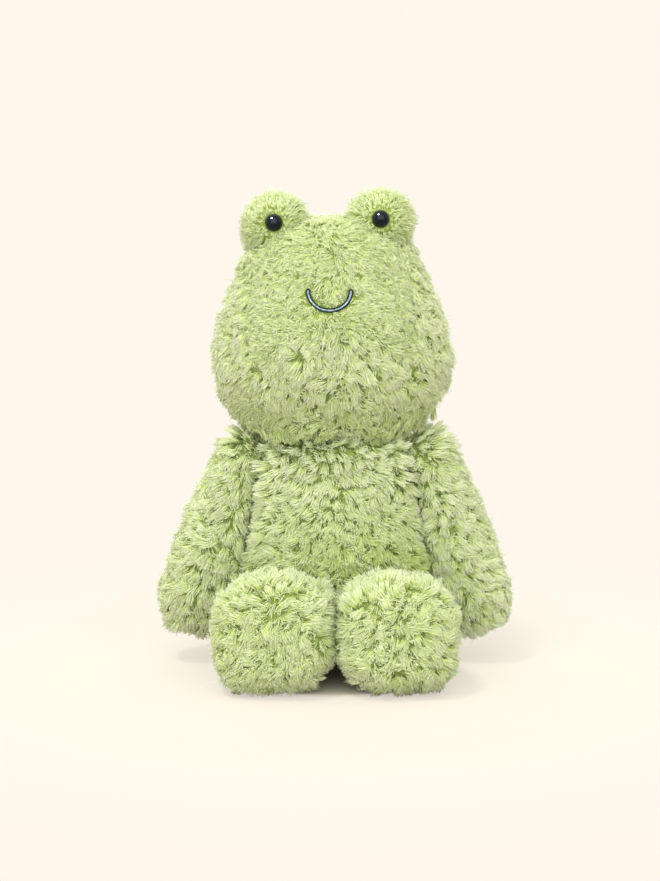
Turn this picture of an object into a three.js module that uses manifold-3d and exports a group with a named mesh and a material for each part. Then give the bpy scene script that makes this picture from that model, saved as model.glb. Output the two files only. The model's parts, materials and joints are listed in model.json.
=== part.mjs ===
// A plush frog that sits with its legs forward, in millimetres.
// It faces -Y, +Z is up and its own left hand is at +X. The origin is on the floor, below the
// middle of the frog's box. Each skin is the plush fabric with its pile, round its own stuffing.

import * as THREE from "three";
import { mergeVertices } from "three/addons/utils/BufferGeometryUtils.js";
import Module from "manifold-3d";

const wasm = await Module();
wasm.setup();

// Fabric and fits
const plush = 5; // the plush fabric with its pile
const seam = 0.3; // between two pieces that touch
const swing = 0.8; // round the ball of a limb or of the neck
const sitFlat = 0.5; // depth of the flats that the frog sits on
const overrun = 10; // how far a cut runs past what it cuts

// Clumps of the long pile
const clumpPitch = 16; // from one clump up to the next
const clumpDepth = 3; // from a clump's crown down into the gap beside it

// Torso
const torsoWidth = 110;
const torsoDepth = 88;
const torsoHeight = 136;
const crotchHeight = 42; // where the belly ends between the thighs

// Neck: a stuffed ball on the torso, which the head sits on
const neckRadius = 24;
const neckDrop = 10; // from the torso's top down to the ball's centre

// Head
const headWidth = 138;
const headDepth = 106;
const headHeight = 122;
const headGap = 2; // between the torso's top and the head's lowest point
const headLean = 2; // degrees that the head leans to its own right

// Eye bumps
const bumpWidth = 40;
const bumpDepth = 38;
const bumpHeight = 39;
const bumpIn = 39; // from the head's widest side in to the bumps' centres
const bumpDrop = 4; // from the head's top down to the bumps' centres
const bumpForward = 6; // from the neck's axis forward to the bumps' centres

// Safety eyes
const eyeDiameter = 10;
const eyeHeight = 5; // of the dome above its back face
const eyeSink = 3; // how deep the dome's back sits in the pile
const eyeRise = 3; // from the bump's centre up to the eye's
const shankDiameter = 3.4;
const shankLength = 13;
const shankRibs = 4;
const ribHeight = 0.4;
const washerDiameter = 12;
const washerThickness = 1.2;
const washerDish = 0.8;

// Mouth
const mouthRadius = 12.3;
const mouthHeight = 85; // of the arc's two ends above the head's lowest point
const stitchWidth = 2.5;

// Arms
const shoulderSpread = 102; // between the two shoulder balls' centres
const shoulderDrop = 18; // from the torso's top down to those centres
const shoulderRadius = 19;
const armWidth = 48;
const armDepth = 42;
const armLength = 110; // from the shoulder ball's centre to the tip of the hand
const armSplay = 20; // degrees from hanging straight down
const armholeDiameter = 18;

// Legs
const hipSpread = 60; // between the two hip balls' centres
const hipForward = 15; // from the torso's middle forward to the hips
const hipRadius = 26;
const hipSwing = 60; // degrees that the legs swing down from the sitting pose
const footWidth = 69;
const footHeight = 67;
const footForward = 54; // from the hip to the middle of the foot
const footLength = 28; // from the middle of the foot to its sole
const legGap = 0.8; // between the two feet
const soleDiameter = 50;

// Pellet pouch in the seat
const pouchWidth = 66;
const pouchDepth = 28;
const pouchHeight = 44;
const pouchBack = 28; // from the torso's middle back to the pouch's

// Shares of each form's length, full width and full depth, ring by ring
const torsoShares = [
  [0, 0, 0],
  [0.003, 0.5, 0.5],
  [0.03, 0.7, 0.69],
  [0.09, 0.84, 0.83],
  [0.2, 0.95, 0.94],
  [0.34, 1, 1],
  [0.52, 0.97, 0.96],
  [0.72, 0.91, 0.86],
  [0.87, 0.86, 0.74],
  [0.955, 0.76, 0.6],
  [0.992, 0.5, 0.36],
  [1, 0, 0],
];
const headShares = [
  [0, 0, 0],
  [0.008, 0.5, 0.45],
  [0.035, 0.74, 0.68],
  [0.1, 0.87, 0.83],
  [0.19, 0.955, 0.94],
  [0.32, 1, 1],
  [0.46, 0.965, 0.985],
  [0.6, 0.885, 0.93],
  [0.72, 0.795, 0.84],
  [0.84, 0.7, 0.72],
  [0.93, 0.58, 0.57],
  [0.985, 0.33, 0.32],
  [1, 0, 0],
];
const armShares = [
  [0, 0, 0],
  [0.004, 0.7, 0.8],
  [0.03, 0.8, 0.9],
  [0.12, 0.89, 0.95],
  [0.28, 0.96, 0.99],
  [0.5, 1, 1],
  [0.74, 0.97, 0.98],
  [0.89, 0.86, 0.88],
  [0.97, 0.62, 0.64],
  [1, 0, 0],
];
const footShares = [
  [0, 0, 0],
  [0.004, 0.68, 0.7],
  [0.03, 0.75, 0.77],
  [0.2, 0.86, 0.87],
  [0.42, 0.96, 0.96],
  [0.66, 1, 1],
  [0.84, 0.97, 0.97],
  [0.94, 0.86, 0.86],
  [0.99, 0.62, 0.62],
  [1, 0, 0],
];

// How round each form's section is: 1 is an ellipse, and less is squarer. The second value is for
// the half that faces the floor or the back.
const torsoRoundShares = [0.91, 0.91];
const headRoundShares = [0.91, 0.91];
const armRoundShares = [0.91, 0.91];
const footRoundShares = [0.87, 0.59];

// Where the torso and the head stand in clumps: from the first share of their height to the second,
// but on the head's front only as far up as the face, where the pile is short.
const torsoClumpShares = [0.09, 0.9];
const headClumpShares = [0.08, 0.8];
const faceShare = 0.5;

// Steps round each section. Inside the plush they are coarser.
const bodyAround = { outerSteps: 20, innerSteps: 12, clumpSteps: 28 };
const limbAround = { outerSteps: 14, innerSteps: 8 };
const ballAround = { outerSteps: 20, innerSteps: 10 };
const bumpAround = { outerSteps: 14, innerSteps: 10 };
const soleAround = 16;
const smallAround = 14; // also the eyes' and the armholes'
const domeRows = 5; // from an eye's rim to its middle
const smilePoints = 10; // where the smile's route touches the face
const stitchSteps = 14; // along the smile
const stitchSides = 6; // round the cord of the smile

// Places, in the torso's frame: its axis is X = Y = 0 and the floor is Z = 0
const neck = new THREE.Vector3(0, 0, torsoHeight - neckDrop);
const headBase = torsoHeight + headGap;
const headTop = headBase + headHeight;
const shoulder = new THREE.Vector3(shoulderSpread / 2, 0, torsoHeight - shoulderDrop);
const hip = new THREE.Vector3(hipSpread / 2, -hipForward, hipRadius - sitFlat);
const foot = new THREE.Vector3(
  (footWidth + legGap) / 2,
  -hipForward - footForward,
  footHeight / 2 - sitFlat,
);
const bump = new THREE.Vector3(headWidth / 2 - bumpIn, -bumpForward, headTop - bumpDrop);
const ahead = new THREE.Vector3(0, -1, 0);
const back = new THREE.Vector3(0, 1, 0);
const up = new THREE.Vector3(0, 0, 1);

// Colours from the photograph
const fur = new THREE.MeshStandardMaterial({ color: 0xbecc86, roughness: 0.95, metalness: 0 });
const fibre = new THREE.MeshStandardMaterial({ color: 0xf3f1ea, roughness: 1, metalness: 0 });
const cloth = new THREE.MeshStandardMaterial({ color: 0xe4dfd2, roughness: 0.9, metalness: 0 });
const bead = new THREE.MeshStandardMaterial({ color: 0x0e1418, roughness: 0.12, metalness: 0 });
const clear = new THREE.MeshStandardMaterial({ color: 0xe8eaea, roughness: 0.4, metalness: 0 });
const thread = new THREE.MeshStandardMaterial({ color: 0x7fa0ac, roughness: 0.5, metalness: 0 });

// A closed geometry as a solid, for cuts and joins.
function solid(geometry) {
  const bare = geometry.clone();
  bare.deleteAttribute("normal");
  bare.deleteAttribute("uv");
  const merged = mergeVertices(bare);
  return new wasm.Manifold(
    new wasm.Mesh({
      numProp: 3,
      vertProperties: merged.attributes.position.array,
      triVerts: new Uint32Array(merged.index.array),
    }),
  );
}

// A solid as a geometry that three.js can draw.
function shape(made) {
  const { vertProperties, triVerts } = made.getMesh();
  const geometry = new THREE.BufferGeometry();
  geometry.setAttribute("position", new THREE.BufferAttribute(vertProperties, 3));
  geometry.setIndex(new THREE.BufferAttribute(triVerts, 1));
  geometry.computeVertexNormals();
  return geometry;
}

// A solid of the frog's left side as it is on its right side.
function mirrored(made) {
  const geometry = shape(made);
  geometry.scale(-1, 1, 1);
  const corners = geometry.index.array;
  for (let i = 0; i < corners.length; i += 3) {
    [corners[i + 1], corners[i + 2]] = [corners[i + 2], corners[i + 1]];
  }
  return solid(geometry);
}

// A ring of points round a stuffed form that stands on the origin along +Z.
function ring([along, wide, deep], [length, width, depth], roundShares, around) {
  return Array.from({ length: around }, (_, i) => {
    const turn = (2 * Math.PI * i) / around;
    const power = roundShares[turn > Math.PI ? 1 : 0];
    const across = Math.sign(Math.cos(turn)) * Math.abs(Math.cos(turn)) ** power;
    const over = Math.sign(Math.sin(turn)) * Math.abs(Math.sin(turn)) ** power;
    return new THREE.Vector3((wide * width * across) / 2, (deep * depth * over) / 2, along * length);
  });
}

// A closed surface through rings, the first and last of which are points. Each of its squares is
// folded, and where the rings are clumped, the fold runs between the corners that are drawn in.
function loft(rings, clumped = false) {
  const around = rings[0].length;
  const corners = [];
  const last = rings.length - 2;
  for (let row = 0; row <= last; row++) {
    for (let i = 0; i < around; i++) {
      const here = row * around + i;
      const next = row * around + ((i + 1) % around);
      const aside = clumped && !drawnIn(row, i);
      if (row > 0) corners.push(here, next, aside ? here + around : next + around);
      if (row < last) corners.push(aside ? next : here, next + around, here + around);
    }
  }
  const points = rings.flat().flatMap((point) => point.toArray());
  const geometry = new THREE.BufferGeometry();
  geometry.setAttribute("position", new THREE.Float32BufferAttribute(points, 3));
  geometry.setIndex(corners);
  return geometry;
}

// A stuffed form's rings follow a table of shares of its sizes.
function stuffedForm(sizes, shares, roundShares, around) {
  return loft(shares.map((share) => ring(share, sizes, roundShares, around)));
}

// The same form in long pile. Points half a pitch apart lie on its faces, and every other one is
// drawn in, so that the pile stands in staggered clumps.
function drawnIn(row, i) {
  return (row + i) % 2 > 0;
}
function clumpedForm(sizes, shares, roundShares, { outerSteps, clumpSteps }, isClumped) {
  const rows = [shares[0]];
  for (let row = 1; row < shares.length; row++) {
    const [from, to] = [shares[row - 1], shares[row]];
    const [rise, out] = [(to[0] - from[0]) * sizes[0], ((to[1] - from[1]) * sizes[1]) / 2];
    const steps = Math.ceil(Math.hypot(rise, out) / (clumpPitch / 2));
    for (let step = 1; step <= steps; step++) {
      rows.push(from.map((share, k) => THREE.MathUtils.lerp(share, to[k], step / steps)));
    }
  }
  const rings = rows.map((share, row) => {
    const corners = ring(share, sizes, roundShares, outerSteps);
    return Array.from({ length: clumpSteps }, (_, i) => {
      const way = (outerSteps * i) / clumpSteps;
      const corner = Math.floor(way);
      const point = corners[corner].clone().lerp(corners[(corner + 1) % outerSteps], way - corner);
      if (drawnIn(row, i) && isClumped(share[0], point)) {
        const inward = 1 - clumpDepth / Math.hypot(point.x, point.y);
        point.multiply(new THREE.Vector3(inward, inward, 1));
      }
      return point;
    });
  });
  return loft(rings, true);
}

function stepsFor(inset, around) {
  return inset > 0 ? around.innerSteps : around.outerSteps;
}

// The same form, drawn in by an inset all round.
function insetForm(inset, sizes, shares, roundShares, around) {
  const less = sizes.map((size) => size - 2 * inset);
  const form = stuffedForm(less, shares, roundShares, stepsFor(inset, around));
  return form.translate(0, 0, inset);
}

// An ellipsoid round a centre, drawn in by an inset all round.
function ellipsoid(centre, sizes, inset, steps) {
  const around = stepsFor(inset, steps);
  const form = new THREE.SphereGeometry(1, around, Math.ceil(around / 2));
  form.scale(...sizes.map((size) => size / 2 - inset));
  return solid(form.translate(centre.x, centre.y, centre.z));
}
function ball(centre, radius, inset) {
  const diameter = 2 * radius;
  return ellipsoid(centre, [diameter, diameter, diameter], inset, ballAround);
}

// A rod along a direction from a point.
function rod(start, direction, radius, length, sides = smallAround) {
  const cylinder = new THREE.CylinderGeometry(radius, radius, length, sides);
  cylinder.translate(0, length / 2, 0);
  cylinder.applyQuaternion(new THREE.Quaternion().setFromUnitVectors(back, direction));
  return solid(cylinder.translate(start.x, start.y, start.z));
}

// Below the floor, which flattens what the frog sits on.
const reach = 2 * (torsoWidth + headHeight);
const underFloor = solid(new THREE.BoxGeometry(reach, reach, reach).translate(0, 0, -reach / 2));

// Torso, a pear with its neck ball
const torsoSizes = [torsoHeight + sitFlat, torsoWidth, torsoDepth];
function torsoForm(inset) {
  const form = insetForm(inset, torsoSizes, torsoShares, torsoRoundShares, bodyAround);
  return solid(form.translate(0, 0, -sitFlat));
}
function torsoBody(inset) {
  return torsoForm(inset).add(ball(neck, neckRadius, inset));
}
function torsoPile() {
  const [low, high] = torsoClumpShares;
  const isClumped = (along) => along > low && along < high;
  const form = clumpedForm(torsoSizes, torsoShares, torsoRoundShares, bodyAround, isClumped);
  return solid(form.translate(0, 0, -sitFlat)).add(ball(neck, neckRadius, 0));
}

const headSizes = [headHeight, headWidth, headDepth];
function headForm(inset) {
  const form = insetForm(inset, headSizes, headShares, headRoundShares, bodyAround);
  return solid(form.translate(0, 0, headBase));
}
function headPile() {
  const [low, high] = headClumpShares;
  const isClumped = (along, { y }) => along > low && along < (y < 0 ? faceShare : high);
  const form = clumpedForm(headSizes, headShares, headRoundShares, bodyAround, isClumped);
  return solid(form.translate(0, 0, headBase));
}

// The arm hangs beside the torso, which flattens its inner side.
function armBody(inset) {
  const sizes = [armLength, armWidth, armDepth];
  const form = insetForm(inset, sizes, armShares, armRoundShares, limbAround);
  form.rotateX(Math.PI);
  form.rotateY(-THREE.MathUtils.degToRad(armSplay));
  form.translate(shoulder.x, shoulder.y, shoulder.z);
  return solid(form)
    .subtract(torsoForm(-seam - inset))
    .add(ball(shoulder, shoulderRadius, inset));
}

// The leg's axis runs from the hip through the middle of the foot.
const legDirection = foot.clone().sub(hip).normalize();
const legLength = foot.distanceTo(hip) + footLength;
function legBody(inset) {
  const sizes = [legLength, footWidth, footHeight];
  const form = insetForm(inset, sizes, footShares, footRoundShares, limbAround);
  form.applyQuaternion(new THREE.Quaternion().setFromUnitVectors(up, legDirection));
  form.translate(hip.x, hip.y, hip.z);
  return solid(form).add(ball(hip, hipRadius, inset));
}

// What the torso gives up to the hip balls and to the legs' swing: a bar along X round both
// balls, and all that lies ahead of the thighs' backs when the legs are down.
function hipCut() {
  const radius = hipRadius + swing;
  const around = ballAround.outerSteps;
  const bar = new THREE.CapsuleGeometry(radius, hipSpread, Math.ceil(around / 3), around);
  bar.rotateZ(Math.PI / 2).translate(0, hip.y, hip.z);
  const angle = THREE.MathUtils.degToRad(hipSwing);
  const thigh = (hipRadius + footHeight / 2) / 2; // half as thick as the leg is on average
  const away = new THREE.Vector2(Math.sin(angle), -Math.cos(angle));
  const tangent = new THREE.Vector2(hip.y, hip.z).addScaledVector(away, thigh + swing);
  const fall = (tangent.y + overrun) / Math.sin(angle);
  const outline = new THREE.Shape([
    new THREE.Vector2(-torsoDepth, -overrun),
    new THREE.Vector2(tangent.x - fall * Math.cos(angle), -overrun),
    tangent,
    new THREE.Vector2(hip.y, crotchHeight),
    new THREE.Vector2(-torsoDepth, crotchHeight),
  ]);
  const wedge = new THREE.ExtrudeGeometry(outline, {
    depth: 2 * torsoWidth,
    bevelEnabled: false,
  });
  wedge.translate(0, 0, -torsoWidth).rotateY(Math.PI / 2).rotateX(Math.PI / 2);
  return solid(bar).add(solid(wedge));
}

// Pouch of pellets that weighs the seat down, between the hips and the torso's back
const pouchCentre = new THREE.Vector3(0, pouchBack, pouchHeight / 2);
function pouchBody(inset) {
  return ellipsoid(pouchCentre, [pouchWidth, pouchDepth, pouchHeight], inset, bumpAround);
}

function bumpBody(inset) {
  return ellipsoid(bump, [bumpWidth, bumpDepth, bumpHeight], inset, bumpAround);
}

// Safety eye that looks ahead, with its back face on the origin: a dome on a ribbed shank.
function eyeForm() {
  const radius = eyeDiameter / 2;
  const core = shankDiameter / 2;
  const pitch = shankLength / (shankRibs + 1);
  const profile = [new THREE.Vector2(0, -shankLength), new THREE.Vector2(core / 2, -shankLength)];
  for (let rib = shankRibs; rib > 0; rib--) {
    profile.push(
      new THREE.Vector2(core + ribHeight, -rib * pitch),
      new THREE.Vector2(core, pitch / 2 - rib * pitch),
    );
  }
  profile.push(new THREE.Vector2(core, 0));
  const dome = new THREE.EllipseCurve(0, 0, radius, eyeHeight, 0, Math.PI / 2);
  profile.push(...dome.getPoints(domeRows));
  profile.at(-1).x = 0;
  return new THREE.LatheGeometry(profile, smallAround).rotateX(Math.PI);
}

// Lock washer, a dished ring that grips the shank behind the fabric.
function washerForm() {
  const outer = washerDiameter / 2;
  const bore = shankDiameter / 2 + ribHeight + seam;
  const ring = [
    new THREE.Vector2(bore, -washerThickness),
    new THREE.Vector2(outer, -washerThickness / 2),
    new THREE.Vector2(outer, 0),
    new THREE.Vector2(bore, -washerDish),
    new THREE.Vector2(bore, -washerThickness),
  ];
  return new THREE.LatheGeometry(ring, smallAround).rotateX(Math.PI);
}

// The smile, a stitched cord along a half circle that lies on the front of the head.
const headFront = new THREE.Mesh(shape(headForm(0)));
const ray = new THREE.Raycaster();
function onFace(x, z) {
  ray.set(new THREE.Vector3(x, -headDepth, z), back);
  return ray.intersectObject(headFront)[0].point;
}
function smile(radius, extra) {
  const points = [];
  for (let i = 0; i <= smilePoints; i++) {
    const turn = extra - ((Math.PI + 2 * extra) * i) / smilePoints;
    const x = mouthRadius * Math.cos(turn);
    points.push(onFace(x, headBase + mouthHeight + mouthRadius * Math.sin(turn)));
  }
  const section = new THREE.Shape().absarc(0, 0, radius, 0, 2 * Math.PI);
  return solid(
    new THREE.ExtrudeGeometry(section, {
      extrudePath: new THREE.CatmullRomCurve3(points),
      steps: stitchSteps,
      curveSegments: stitchSides / 2,
      bevelEnabled: false,
    }),
  );
}

function both(made) {
  return made.add(mirrored(made));
}

// The left eye, with the washer behind the fabric that it grips
const eyeBack = new THREE.Vector3(bump.x, bump.y - bumpDepth / 2 + eyeSink, bump.z + eyeRise);
const washerFront = eyeBack.clone();
washerFront.y += plush - eyeSink + seam;
const eye = solid(eyeForm().translate(eyeBack.x, eyeBack.y, eyeBack.z));
const washer = solid(washerForm().translate(washerFront.x, washerFront.y, washerFront.z));
const eyeSeat = rod(eyeBack, ahead, eyeDiameter / 2 + seam, overrun);
const shankHole = rod(eyeBack, back, shankDiameter / 2 + ribHeight + seam, shankLength + seam);
const eyeCut = eyeSeat.add(shankHole);
const washerSeat = (depth) =>
  rod(washerFront.clone().addScaledVector(ahead, seam), back, washerDiameter / 2 + seam, depth);
const washerCut = eyeCut.add(washerSeat(washerThickness + 2 * seam));

const frog = new THREE.Group();
function part(pivot, parent) {
  const group = new THREE.Group();
  group.position.copy(pivot).sub(parent.getWorldPosition(new THREE.Vector3()));
  parent.add(group);
  return group;
}
function piece(group, name, made, material) {
  const origin = group.getWorldPosition(new THREE.Vector3()).negate();
  const mesh = new THREE.Mesh(shape(made).translate(origin.x, origin.y, origin.z), material);
  mesh.name = name;
  group.add(mesh);
}

// Torso
const torso = part(new THREE.Vector3(), frog);
const torsoCut = hipCut()
  .add(both(legBody(-seam)))
  .add(both(ball(shoulder, shoulderRadius, -swing)))
  .add(underFloor);
const torsoCore = torsoBody(plush + seam).subtract(torsoCut);
piece(torso, "torso_skin", torsoPile().subtract(torsoBody(plush)).subtract(torsoCut), fur);
piece(torso, "torso_stuffing", torsoCore.subtract(pouchBody(-seam)), fibre);
piece(torso, "seat_pellet_pouch", pouchBody(0).intersect(torsoCore), cloth);

// Head
const head = part(neck, torso);
const headCut = ball(neck, neckRadius, -swing)
  .add(smile(stitchWidth / 2 + seam, seam / mouthRadius))
  .add(both(washerCut));
piece(head, "head_skin", headPile().subtract(headForm(plush)).subtract(headCut), fur);
piece(head, "head_stuffing", headForm(plush + seam).subtract(headCut), fibre);
piece(head, "mouth_embroidery", smile(stitchWidth / 2, 0), thread);

// What comes in pairs: the left one, and its mirror image on the right
function pair(parent, pivot, pieces) {
  const across = pivot.clone();
  across.x = -pivot.x;
  const left = part(pivot, parent);
  const right = part(across, parent);
  for (const [name, made, material] of pieces) {
    piece(left, `left_${name}`, made, material);
    piece(right, `right_${name}`, mirrored(made), material);
  }
}

// Eye bumps on the head, with their eyes. Their fabric is open behind the washer.
const bumpHollow = bumpBody(plush).add(washerSeat(bumpDepth / 2)).add(eyeCut);
const underBump = headForm(-seam);
pair(head, bump, [
  ["eye_bump_skin", bumpBody(0).subtract(bumpHollow).subtract(underBump), fur],
  ["eye_bump_stuffing", bumpBody(plush + seam).subtract(washerCut).subtract(underBump), fibre],
  ["eye", eye, bead],
  ["eye_washer", washer, clear],
]);

// Arms, open where they are sewn to the torso
const toTorso = new THREE.Vector3(-1, 0, 0);
const armhole = rod(shoulder, toTorso, armholeDiameter / 2, shoulderRadius + overrun);
pair(torso, shoulder, [
  ["arm_skin", armBody(0).subtract(armBody(plush)).subtract(armhole), fur],
  ["arm_stuffing", armBody(plush + seam), fibre],
]);

// Legs, closed by round soles
const legShell = legBody(0).subtract(legBody(plush)).subtract(underFloor);
function soleBore(clearance) {
  return rod(foot, legDirection, soleDiameter / 2 + clearance, footLength + overrun, soleAround);
}
pair(torso, hip, [
  ["leg_skin", legShell.subtract(soleBore(seam)), fur],
  ["leg_sole", legShell.intersect(soleBore(0)), fur],
  ["leg_stuffing", legBody(plush + seam), fibre],
]);

// The head leans on its neck ball, and the origin is below the middle of the frog's box.
head.rotation.y = -THREE.MathUtils.degToRad(headLean);
const box = new THREE.Box3().setFromObject(frog, true);
frog.position.y = -(box.min.y + box.max.y) / 2;

export default frog;
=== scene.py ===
"""A sitting plush frog: clumped long pile on stuffed forms, bead eyes and a stitched smile."""
import json
import math

import bpy
import numpy as np
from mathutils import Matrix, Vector
from mathutils.bvhtree import BVHTree
from mathutils.kdtree import KDTree

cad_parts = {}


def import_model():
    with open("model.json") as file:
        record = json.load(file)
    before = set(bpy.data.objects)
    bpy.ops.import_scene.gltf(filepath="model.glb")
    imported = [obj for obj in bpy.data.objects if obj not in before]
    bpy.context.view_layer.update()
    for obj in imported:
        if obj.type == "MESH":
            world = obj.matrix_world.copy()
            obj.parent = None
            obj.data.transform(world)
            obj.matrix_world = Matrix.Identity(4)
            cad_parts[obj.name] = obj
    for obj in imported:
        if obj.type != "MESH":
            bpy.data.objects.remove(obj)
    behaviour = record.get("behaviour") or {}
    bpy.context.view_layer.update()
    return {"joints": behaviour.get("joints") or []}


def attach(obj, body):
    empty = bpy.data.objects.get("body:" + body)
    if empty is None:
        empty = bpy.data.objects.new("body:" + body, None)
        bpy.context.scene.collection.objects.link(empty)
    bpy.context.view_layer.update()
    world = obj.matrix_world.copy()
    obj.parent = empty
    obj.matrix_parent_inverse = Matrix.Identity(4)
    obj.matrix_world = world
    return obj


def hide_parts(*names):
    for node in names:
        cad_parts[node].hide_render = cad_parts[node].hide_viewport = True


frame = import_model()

MM = 0.001
TURN = 2 * math.pi
rng = np.random.default_rng(20260)  # sows the tufts of all pieces in turn

# ---------- camera, light and floor, in metres

PHOTO_HEIGHT = 881  # in pixels, as the camera's shift is
CAMERA_TILT = math.radians(10)
CAMERA_AWAY = 1.5
AIM_HEIGHT = 0.13
CREAM = (1.0, 0.93, 0.84)  # the backdrop
WARM = (1.0, 0.985, 0.96)  # the lamps, and the world's light
WORLD_STRENGTH = 0.8
SUNS = (  # a name, an energy, an angle in degrees and the way to the lamp
    ("Key", 1.05, 10, (-0.29, -0.27, 0.92)),
    ("Front_fill", 2.28, 80, (0.0, -0.9, 0.42)),
    ("Back_fill", 0.6, 80, (-0.1, 0.9, 0.4)),
)
FLOOR_HALF = 60
FLOOR_SEEN = (0.8, 0.74, 0.625)  # the lit floor, as the camera sees it
FLOOR_THROWS = (0.46, 0.43, 0.38)  # the same for the light that it throws back up
FLOOR_FADE = [(0.052, (0,) * 3), (0.062, (0.54,) * 3), (0.36, (1,) * 3)]  # to the backdrop


def link(obj):
    bpy.context.scene.collection.objects.link(obj)
    return obj


def add(nt, kind, **settings):
    """A new shader node."""
    node = nt.nodes.new(f"ShaderNode{kind}")
    for key, value in settings.items():
        setattr(node, key, value)
    return node


def wire(output, socket):
    output.id_data.links.new(output, socket)


def ramp(nt, stops):
    """A colour ramp, from pairs of a place and a colour."""
    node = add(nt, "ValToRGB")
    node.color_ramp.interpolation = "EASE"
    while len(node.color_ramp.elements) < len(stops):
        node.color_ramp.elements.new(0.5)
    for element, (place, colour) in zip(node.color_ramp.elements, stops):
        element.position = place
        element.color = (*colour, 1)
    return node


def mixed(nt, share, low, high, out):
    """Ends a node tree in a mix of two shaders, by the share that the second has."""
    mix = add(nt, "MixShader")
    wire(share, mix.inputs["Fac"])
    wire(low.outputs[0], mix.inputs[1])
    wire(high.outputs[0], mix.inputs[2])
    wire(mix.outputs[0], out.inputs["Surface"])


def sun(name, energy, angle, towards, colour=(1, 1, 1)):
    """A sun that stands in a direction, its angle in degrees."""
    light = bpy.data.lights.new(name, "SUN")
    light.energy = energy
    light.angle = math.radians(angle)
    light.color = colour
    lamp = link(bpy.data.objects.new(name, light))
    lamp.rotation_euler = Vector(towards).to_track_quat("Z", "Y").to_euler()
    return lamp


def camera():
    made = bpy.data.cameras.new("Camera")
    made.lens = 107.7
    made.shift_x, made.shift_y = -5.5 / PHOTO_HEIGHT, 7.0 / PHOTO_HEIGHT
    made.clip_end = 200
    obj = link(bpy.data.objects.new("Camera", made))
    back, up = CAMERA_AWAY * math.cos(CAMERA_TILT), CAMERA_AWAY * math.sin(CAMERA_TILT)
    obj.location = (0, -back, AIM_HEIGHT + up)
    obj.rotation_euler = (math.pi / 2 - CAMERA_TILT, 0, 0)
    bpy.context.scene.camera = obj


def world():
    """A pale world, which the camera sees as the backdrop."""
    made = bpy.data.worlds.new("Studio")
    bpy.context.scene.world = made
    made.use_nodes = True
    nt = made.node_tree
    nt.nodes.clear()
    out = add(nt, "OutputWorld")
    seen, lit = add(nt, "Background"), add(nt, "Background")
    seen.inputs["Color"].default_value = (*CREAM, 1)
    lit.inputs["Color"].default_value = (*WARM, 1)
    lit.inputs["Strength"].default_value = WORLD_STRENGTH
    mixed(nt, add(nt, "LightPath").outputs["Is Camera Ray"], lit, seen, out)


def floor():
    """A floor that is lit near the frog, where its shadow falls, and fades to the backdrop."""
    made = bpy.data.materials.new("Floor")
    made.use_nodes = True
    nt = made.node_tree
    nt.nodes.clear()
    out, lit, seen = add(nt, "OutputMaterial"), add(nt, "BsdfDiffuse"), add(nt, "Emission")
    seen.inputs["Color"].default_value = (*CREAM, 1)
    where, path = add(nt, "TexCoord"), add(nt, "LightPath")
    reach = add(nt, "VectorMath", operation="LENGTH")
    fade = ramp(nt, FLOOR_FADE)
    tone = add(nt, "Mix", data_type="RGBA")
    tone.inputs["A"].default_value = (*FLOOR_THROWS, 1)
    tone.inputs["B"].default_value = (*FLOOR_SEEN, 1)
    share = add(nt, "Math", operation="MULTIPLY")
    wire(where.outputs["Object"], reach.inputs[0])
    wire(reach.outputs["Value"], fade.inputs[0])
    wire(path.outputs["Is Camera Ray"], tone.inputs["Factor"])
    wire(tone.outputs["Result"], lit.inputs["Color"])
    wire(fade.outputs[0], share.inputs[0])
    wire(path.outputs["Is Camera Ray"], share.inputs[1])
    mixed(nt, share.outputs[0], lit, seen, out)
    mesh = bpy.data.meshes.new("Floor")
    corners = [(x * FLOOR_HALF, y * FLOOR_HALF, 0) for x, y in ((-1, -1), (1, -1), (1, 1), (-1, 1))]
    mesh.from_pydata(corners, [], [(0, 1, 2, 3)])
    mesh.materials.append(made)
    link(bpy.data.objects.new("Floor", mesh))


camera()
for lamp in SUNS:
    sun(*lamp, WARM)
world()
floor()
bpy.context.scene.view_settings.view_transform = "Standard"

# ---------- materials


def srgb(r, g, b):
    """A colour of 0 to 255 as Blender's linear colour."""
    return tuple(
        (c / 255) / 12.92 if c <= 10 else ((c / 255 + 0.055) / 1.055) ** 2.4 for c in (r, g, b)
    )


def material(name, roughness, **sockets):
    """A principled material, its node tree and its shader."""
    made = bpy.data.materials.new(name)
    made.use_nodes = True
    shader = made.node_tree.nodes["Principled BSDF"]
    shader.inputs["Roughness"].default_value = roughness
    for socket, value in sockets.items():
        shader.inputs[socket.replace("_", " ")].default_value = value
    return made, made.node_tree, shader


def grainy(name, roughness, dark, pale, scale, detail, bump=None, **sockets):
    """A material whose colour follows a fine grain, and so does its bump, where it has one."""
    made, nt, shader = material(name, roughness, **sockets)
    grain, where = add(nt, "TexNoise"), add(nt, "TexCoord")
    grain.inputs["Scale"].default_value = scale
    grain.inputs["Detail"].default_value = detail
    grain.inputs["Roughness"].default_value = 0.6
    wire(where.outputs["Object"], grain.inputs["Vector"])
    tone = ramp(nt, [(0.3, srgb(*dark)), (0.7, srgb(*pale))])
    wire(grain.outputs[0], tone.inputs[0])
    wire(tone.outputs[0], shader.inputs["Base Color"])
    if bump:
        relief = add(nt, "Bump")
        relief.inputs["Strength"].default_value, relief.inputs["Distance"].default_value = bump
        wire(grain.outputs[0], relief.inputs["Height"])
        wire(relief.outputs[0], shader.inputs["Normal"])
    return made


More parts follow.
